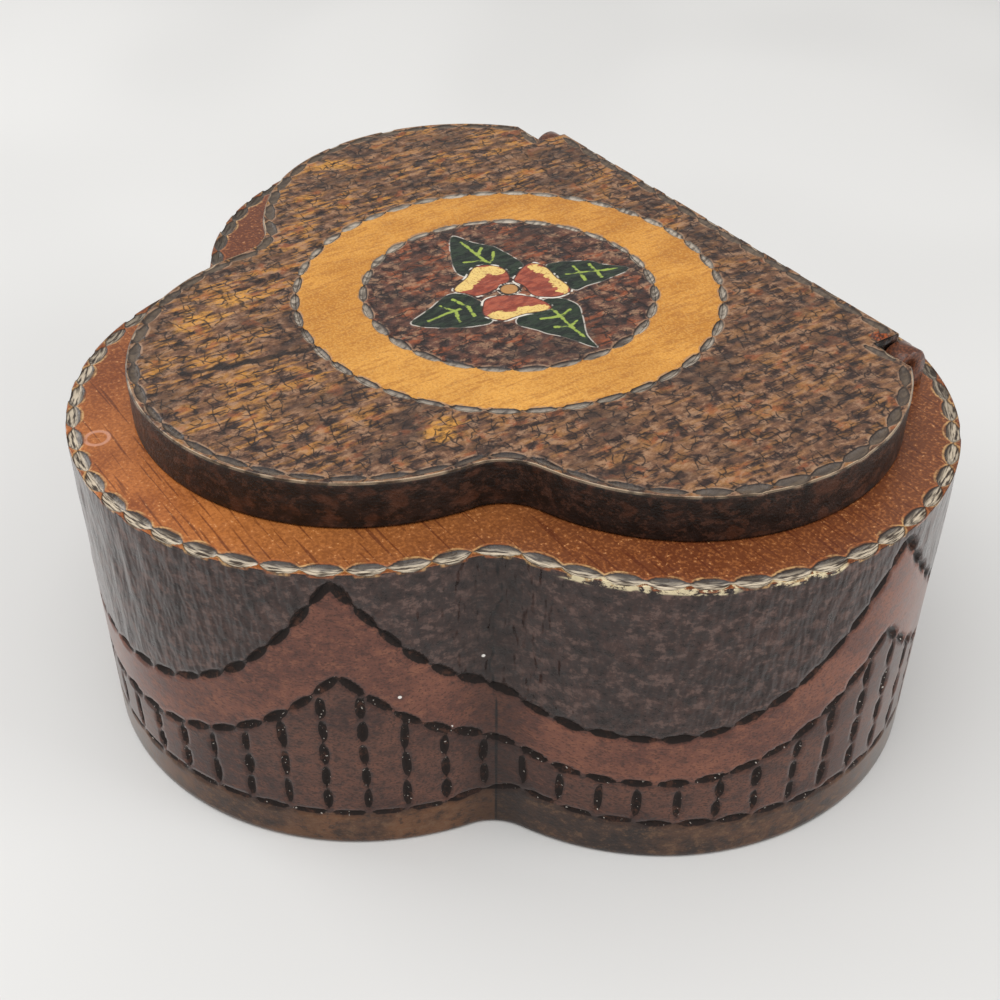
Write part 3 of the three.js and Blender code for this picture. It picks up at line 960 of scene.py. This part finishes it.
def body_finish():
    f = Finish("stained_body_wood")
    names = ("across", "crease", "cut", "edge", "foot", "lean", "lower", "upper", "way")
    across, crease, cut, edge, foot_line, lean, lower, upper, way = map(f.field, names)
    on_side = f.ramp(across, 0.05, -0.05)
    grain = f.noise((14, 0.6, 0.6), 3.0)
    specks = f.noise((2.6, 0.5, 0.35), 8.0)
    cloud = f.noise((14, 14, 11), 5.0)
    patch = f.noise((4, 4, 3), 15.0)
    fine = f.noise((0.5, 0.5, 0.5), 1.0)
    tooth = f.noise((2.4, 2.4, 1.8), 6.0, 4.0, 0.75)
    ripple = f.noise((1.4, 1.4, 4.0), 6.0)

    # Plain stained bands, with short dark marks along the grain
    plain = f.tint((100, 60, 48), cloud, 0.35, 0.65, (122, 75, 58))
    plain = f.worn(tooth, plain, (142, 92, 70), (60, 34, 27), 0.55)
    plain = f.tint(plain, specks, 0.54, 0.66, (56, 32, 27), 0.6)
    fence = f.tint((70, 43, 35), cloud, 0.4, 0.62, (92, 59, 47))
    fence = f.worn(tooth, fence, (112, 73, 58), (34, 20, 17), 0.6)
    fence = f.tint(fence, specks, 0.52, 0.64, (42, 26, 23), 0.65)

    # Scorched and hammered swags under the rim, with fine cracks
    scorched = f.tint((50, 36, 33), patch, 0.4, 0.64, (66, 47, 42))
    scorched = f.worn(tooth, scorched, (112, 88, 80), (18, 12, 11), 0.65)
    crackle = f.gaps(f.pair(way, across), (1.9, 2.6), 1.4)
    crackle = (crackle, 0.05, 0.012), (patch, 0.46, 0.56), 0.45
    scorched = f.paint(scorched, (24, 18, 18), *crackle)
    side = f.tint(fence, lower, -0.1, 0.1, plain)
    side = f.tint(side, upper, -0.15, 0.15, scorched)

    # Foot band: dark, amber towards the right cleft, and darkest past it
    before, after = CLEFT_WAY - 0.5, CLEFT_WAY + 0.5
    foot = f.tint((44, 30, 24), patch, 0.35, 0.65, (78, 52, 37))
    amber = (cloud, 0.4, 0.6, 0.1, 0.5), (way, 10, 40, 0.4, 1), (way, after, before, 0.3, 1)
    foot = f.paint(foot, (128, 84, 50), *amber)
    foot = f.paint(foot, (46, 36, 33), (way, before, after), (way, 118, 92), 0.6)
    foot = f.worn(tooth, foot, (112, 84, 62), (26, 17, 14), 0.65)
    side = f.tint(side, foot_line, 0.1, -0.1, foot)

    # Gouge cuts in the side, with painted glints in the fence's, painted shade beside the
    # clefts, and the cracks in the clefts
    side = f.tint(side, cut, -0.5, 0.0, (48, 30, 26), 0.35)
    depth = f.tint((28, 17, 13), tooth, 0.5, 0.72, (80, 51, 39))
    # Painted glints: tiny light specks in the cuts below the lower swag
    depth = f.paint(depth, (205, 196, 186), (fine, 0.7, 0.74), (lower, 0.4, -0.2), 0.8)
    side = f.tint(side, cut, -0.04, 0.1, depth)
    # Painted shade: the side darkens towards each cleft, within 9 mm of it
    side = f.tint(side, crease, 9, 0.5, (30, 20, 17), 0.55)
    side = f.paint(side, (14, 9, 8), (crease, 0.4, 0.1), (patch, 0.35, 0.55, 0.5, 0.95))
    for place in DUST:
        side = f.tint(side, f.spot(place, DUST_SIZE), 1.1, 0.8, (235, 232, 226))

    # Rim's top: orange varnish over grain lines that run from side to side, with a painted
    # highlight at the front right, painted shade on the left and right, and painted glints
    to_right = f.dot((1, 0, 0))
    rim = f.tint((138, 74, 36), cloud, 0.34, 0.66, (178, 106, 54))
    # Painted highlight: a lighter glow on the rim at the front right
    painted_highlight = f.spot((34, -34, BODY_TOP), (34, 34, 34))
    rim = f.tint(rim, painted_highlight, 1.2, 0.4, (208, 134, 68), 0.6)
    # Painted shade: the rim darker towards the left and towards the right
    rim = f.tint(rim, to_right, -14, -54, (108, 56, 32))
    rim = f.tint(rim, to_right, 10, 55, (100, 54, 31), 0.85)
    rim = f.worn(fine, rim, (206, 130, 72), (90, 44, 23), 0.25)
    rim = f.tint(rim, grain, 0.57, 0.68, (84, 38, 22), 0.65)
    # Painted glints: sparse light specks in the varnish
    rim = f.tint(rim, fine, 0.7, 0.75, (226, 168, 116), 0.55)
    mark = f.spot(RIM_MARK, (2.1, 2.1, 4))
    rim = f.paint(rim, (214, 160, 138), (mark, 0.7, 0.85), (mark, 1.15, 1.0), 0.6)
    inside = f.tint((142, 98, 66), cloud, 0.3, 0.7, (172, 124, 86))
    inside = f.tint(inside, grain, 0.5, 0.7, (100, 62, 42), 0.55)
    rim = f.tint(rim, across, WALL - 0.4, WALL + 0.1, inside)
    lug = f.tint((74, 42, 31), fine, 0.4, 0.65, (112, 66, 44))
    rim = f.tint(rim, f.dot((0, 0, 1)), BODY_TOP + 0.3, BODY_TOP + 0.9, lug)
    base = f.blend(on_side, rim, side)
    under = f.tint((150, 112, 78), grain, 0.4, 0.7, (112, 78, 54))
    base = f.tint(base, across, -BODY_TOP - 0.1, -BODY_TOP - 0.6, under)

    # Edge cuts: bare grey wood with a painted highlight on their outer side, brightest towards
    # the front right, and painted shade along the inner side; pale ridges outside them, worn
    # and partly a painted highlight along the edge
    to_front = f.ramp(f.dot(FRONT_RIGHT), -30, 32)
    light = (f.streaks(way, lean), 0.34, 0.64), (lean, -0.9, 0.25), (to_front, 0, 1, 0.12, 1)
    grey_cut_lit_and_shaded = f.paint((62, 52, 44), (214, 199, 176), *light)
    # Painted shade along the inner side of each edge cut
    grey_cut_lit_and_shaded = f.paint(grey_cut_lit_and_shaded, (34, 24, 21), (edge, 0.55, 0.1), (lean, 0.1, -0.4), 0.95)
    grey_cut_lit_and_shaded = f.tint(grey_cut_lit_and_shaded, edge, 0.22, 0.04, (44, 32, 27), 0.8)
    ridge = (edge, -0.5, -0.25), (fine, 0.3, 0.55, 0.3, 1.0), (across, -0.75, -0.45), 0.75
    base = f.paint(base, f.tint((160, 92, 50), patch, 0.4, 0.6, (206, 166, 112)), *ridge)
    base = f.paint(base, (40, 27, 23), (edge, -0.16, -0.04), (across, -1.2, -0.6), 0.6)
    base = f.tint(base, edge, -0.04, 0.06, grey_cut_lit_and_shaded)
    chipped = (lean, -0.6, 0.6), (edge, 0.5, 0.15), (across, -1.3, -0.9), (across, 1.4, 0.8)
    chipped = f.both(*chipped, (tooth, 0.45, 0.54))
    for x, y in RIM_CHIPS:
        near = f.spot((x, y, BODY_TOP), (6, 6, 5), 0, patch)
        base = f.paint(base, (222, 206, 168), (near, 1.1, 0.8), chipped)

    height = f.both(ripple, on_side, (upper, 0.0, 0.8), 0.95)
    height = f.calc("ADD", height, f.both(fine, 0.07))
    rough = f.ramp(tooth, 0.3, 0.7, 0.36, 0.56)
    rough = f.calc("ADD", rough, f.ramp(upper, -0.2, 0.2, 0, -0.11))
    rough = f.calc("MAXIMUM", rough, f.ramp(cut, -0.1, 0.1, 0, 0.85))
    return f.finish(base, rough, height, coat=f.gloss(0.08, 0.9), specular=0.35)


def on_lid(x, y):
    """A place on the lid's top, from the middle of the medallion."""
    return (MEDALLION[0] + x, MEDALLION[1] + y, LID_TOP)


def lid_finish():
    f = Finish("hammered_lid_wood")
    names = ("chip", "edge", "fall", "inset", "leaf", "lean", "petal", "reach", "row")
    chip, edge, fall, inset, leaf, lean, petal, reach, row = map(f.field, names)
    fine = f.noise((0.45, 0.45, 0.45), 2.0)
    streaks = f.noise((0.8, 5.0, 0.8), 4.0, 2.0)
    cloud = f.noise((8, 16, 8), 7.0)
    mottle = f.noise((2.2, 2.6, 2.2), 9.0, 2.0)
    patch = f.noise((3.0, 4.5, 3.0), 19.0)
    tooth = f.noise((1.6, 2.6, 1.6), 16.0, 4.0, 0.75)
    brush = f.noise((0.8, 2.2, 0.8), 14.0, 2.0)

    # Hammered wood: dark stain, gold where the streaks and the worn side let it through
    top = f.tint((52, 34, 29), mottle, 0.38, 0.62, (106, 74, 55))
    top = f.tint(top, streaks, 0.46, 0.62, (138, 98, 66), 0.65)
    gold = (cloud, 0.4, 0.62, 0.25, 1), (streaks, 0.43, 0.6), (patch, 0.38, 0.56)
    top = f.paint(top, (182, 126, 56), *gold, (f.dot((1, 0.25, 0)), 34, -14, 0.3, 1))
    top = f.paint(top, (146, 78, 42), (patch, 0.56, 0.66), (mottle, 0.45, 0.6), 0.6)
    for x, y, size in AMBER_PLACES:
        near = f.spot(on_lid(x, y), (size * 0.6, size, MARK_DEPTH), 0, mottle)
        top = f.paint(top, (206, 146, 62), (near, 1.2, 0.5), (streaks, 0.35, 0.55), 0.85)
    red = f.tint((46, 30, 29), mottle, 0.4, 0.62, (96, 62, 50))
    red = f.paint(red, (150, 80, 46), (patch, 0.48, 0.6), (streaks, 0.4, 0.6), 0.8)
    top = f.tint(top, reach, INNER_ROW + 0.1, INNER_ROW - 0.1, red)
    top = f.worn(tooth, top, (172, 134, 104), (24, 15, 12), 0.6)

    # Dark patches, short ticks and the scratch; the ticks stand for grime and painted shade at
    # the ends of the hammered scoops
    top = f.tint(top, cloud, 0.46, 0.34, (52, 40, 36), 0.5)
    ticks = f.gaps(f.place, (2.9, 2.3), 1.3)
    # Short dark ticks: grime and painted shade along the borders of the hammered cells
    top = f.paint(top, (26, 17, 16), (ticks, 0.1, 0.02), (mottle, 0.58, 0.48), 0.85)
    middle, half_size, turn = SCRATCH
    scratch = f.spot(on_lid(*middle), (*half_size, MARK_DEPTH), turn, mottle)
    top = f.tint(top, scratch, 1.3, 0.8, (28, 20, 19), 0.85)

    # Painted flower: leaves with veins, petals with a cream stroke, a ringed middle
    green = f.tint((20, 30, 25), brush, 0.4, 0.62, (38, 52, 38))
    vein = f.calc("ADD", f.field("vein"), f.ramp(brush, 0.3, 0.7, -0.12, 0.16))
    green = f.tint(green, vein, 0.4, 0.16, (150, 168, 74))
    top = f.tint(top, leaf, -0.08, 0.08, green)
    line = (leaf, -0.24, -0.1), (leaf, 0.14, 0.02), (mottle, 0.45, 0.53, 0.1, 0.8)
    top = f.paint(top, (196, 190, 180), *line)
    stroke = f.calc("ADD", f.field("cream"), f.ramp(brush, 0.3, 0.7, -0.4, 0.6))
    cream = f.tint((226, 194, 118), fine, 0.5, 0.75, (184, 142, 82))
    brick = f.tint((130, 58, 44), brush, 0.38, 0.62, (164, 84, 62))
    brick = f.tint(brick, stroke, 0.12, -0.12, cream)
    brick = f.tint(brick, petal, 0.42, 0.12, (60, 32, 27))
    top = f.tint(top, petal, -0.08, 0.1, brick)
    line = (petal, -0.42, -0.2), (petal, 0.14, 0.0), (mottle, 0.5, 0.58)
    top = f.paint(top, (222, 216, 204), *line)
    eye = f.tint((34, 24, 20), reach, 1.7, 1.35, (178, 130, 78))
    eye = f.paint(eye, (214, 204, 190), (reach, 1.6, 1.9), (fine, 0.5, 0.56))
    top = f.tint(top, reach, 2.35, 2.15, eye)

    # Plain amber ring between the two round rows of cuts
    amber = f.tint((184, 122, 44), cloud, 0.3, 0.7, (208, 146, 62))
    amber = f.tint(amber, f.dot(FRONT_RIGHT), 0, 28, (226, 168, 82), 0.4)
    amber = f.tint(amber, streaks, 0.48, 0.64, (164, 104, 38), 0.55)
    amber = f.worn(fine, amber, (232, 178, 96), (164, 106, 42), 0.3)
    amber = f.tint(amber, fine, 0.67, 0.73, (128, 80, 34), 0.45)
    ring = f.both((reach, INNER_ROW, INNER_ROW + 0.2), (reach, OUTER_ROW, OUTER_ROW - 0.2))
    top = f.blend(ring, top, amber)

    # Wall and underside
    wall = f.tint((14, 8, 6), mottle, 0.35, 0.65, (38, 22, 15))
    wall = f.tint(wall, patch, 0.56, 0.68, (88, 50, 32), 0.5)
    wall = f.worn(tooth, wall, (88, 56, 42), (10, 6, 5), 0.5)
    under = f.tint((158, 114, 74), streaks, 0.35, 0.65, (126, 84, 54))
    wall = f.tint(wall, fall, THICKNESS + 0.1, THICKNESS + 0.8, under)
    base = f.tint(top, fall, 0.05, 0.3, wall)

    # Grey cuts with a painted highlight on their outer side, duller along the edge, and
    # painted shade on their inner side, then the pale ridges, the worn edge and the broken chip
    cut = f.calc("MAXIMUM", row, edge)
    painted_highlight = f.tint((190, 178, 162), inset, 5.0, 4.0, (106, 92, 78))
    light = (streaks, 0.3, 0.62, 0.1, 1), (lean, -0.8, 0.5, 0.3, 1.0)
    grey_cut_lit_and_shaded = f.paint((76, 67, 61), painted_highlight, *light)
    # Painted shade on the inner side of each cut
    grey_cut_lit_and_shaded = f.paint(grey_cut_lit_and_shaded, (34, 25, 23), (cut, 0.4, 0.08), (lean, 0.1, -0.3, 0.7, 1))
    base = f.paint(base, (158, 128, 104), (cut, -0.35, -0.15), (mottle, 0.4, 0.6, 0.0, 0.7))
    base = f.tint(base, cut, -0.04, 0.06, grey_cut_lit_and_shaded)
    worn = (inset, -0.4, -0.12), (inset, 0.28, 0.08), (patch, 0.42, 0.54, 0.15, 0.85)
    base = f.paint(base, (196, 172, 144), *worn)
    raw = f.tint((166, 84, 40), fine, 0.4, 0.6, (84, 46, 32))
    base = f.tint(base, chip, 0.0, 0.15, raw)

    height = f.both(f.calc("SUBTRACT", 1.0, ring), (fall, 0.3, 0.05), mottle, 0.9)
    height = f.calc("ADD", height, f.both(fine, 0.12))
    rough = f.ramp(mottle, 0.3, 0.7, 0.4, 0.6)
    return f.finish(base, rough, height, coat=0.08, coat_rough=0.28, specular=0.35)


def pin_finish():
    f = Finish("dull_steel_wire")
    tarnish = f.noise((1.5, 0.6, 0.6), 1.0, 3.0)
    base = f.tint((120, 114, 106), tarnish, 0.4, 0.62, (84, 74, 66))
    f.fill(f.shader, Metallic=0.9)
    rough = f.ramp(tarnish, 0.3, 0.7, 0.35, 0.6)
    return f.finish(base, rough, f.both(tarnish, 0.03), coat_rough=0.2)


def floor_finish():
    f = Finish("pale_floor")
    soft = f.noise((90, 90, 90), 2.0, 0.0)
    base = f.tint((216, 216, 215), soft, 0.3, 0.7, (220, 220, 219))
    return f.finish(base, f.ramp(soft, 0.3, 0.7, 0.5, 0.6), 0.0, specular=0.2)


def make_floor():
    bpy.ops.mesh.primitive_plane_add(size=8, location=(0, 0, 0))
    floor = bpy.context.object
    floor.name = "floor"
    floor.data.materials.append(floor_finish())


def softbox(name, place, target, size, power):
    light = bpy.data.lights.new(name, "AREA")
    light.shape = "RECTANGLE"
    light.size, light.size_y = size
    light.energy = power
    box = bpy.data.objects.new(name, light)
    box.location = place
    aim = Vector(target) - Vector(place)
    box.rotation_euler = aim.to_track_quat("-Z", "Y").to_euler()
    bpy.context.scene.collection.objects.link(box)


def make_lights():
    bpy.context.scene.view_settings.view_transform = "Standard"
    world = bpy.context.scene.world or bpy.data.worlds.new("studio")
    bpy.context.scene.world = world
    world.use_nodes = True
    sky = world.node_tree.nodes["Background"]
    sky.inputs["Color"].default_value = (1.0, 0.98, 0.955, 1.0)
    sky.inputs["Strength"].default_value = 0.52
    target = (0, 0, 0.04)
    softbox("overhead", (0.2, -0.35, 1.1), target, (1.0, 1.0), 8.3)
    softbox("left_side", (-0.75, -0.45, 0.3), target, (0.5, 0.7), 3.8)
    softbox("right_side", (0.75, 0.6, 0.45), target, (0.5, 0.7), 3.8)


def make_camera():
    """The photograph's place and tilt, fitted to the box's plan and height."""
    right = Vector((0.5635, 0.8260, 0.0061))
    down = Vector((0.5140, -0.3448, -0.7854))
    back = Vector((0.64665, -0.44573, 0.61896))
    turn = Matrix((right, -down, back)).transposed().to_4x4()
    data = bpy.data.cameras.new("photo_view")
    data.sensor_width = 36
    data.lens = 52.53
    data.clip_start = 0.01
    camera = bpy.data.objects.new("photo_view", data)
    camera.matrix_world = Matrix.Translation((0.18746, -0.11980, 0.20268)) @ turn
    bpy.context.scene.collection.objects.link(camera)
    bpy.context.scene.camera = camera


def dress(shell, name, material, body, node):
    piece = shell.build(name, material)
    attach(piece, body)
    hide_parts(node)


make_floor()
make_lights()
make_camera()
dress(body_shell(), "carved_body", body_finish(), "box", "body")
dress(lid_shell(), "painted_lid", lid_finish(), "lid", "lid")
steel = pin_finish()
for name in ("hinge_pin_left", "hinge_pin_right"):
    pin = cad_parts[name]
    pin.data.materials.clear()
    pin.data.materials.append(steel)

bpy.context.view_layer.update()
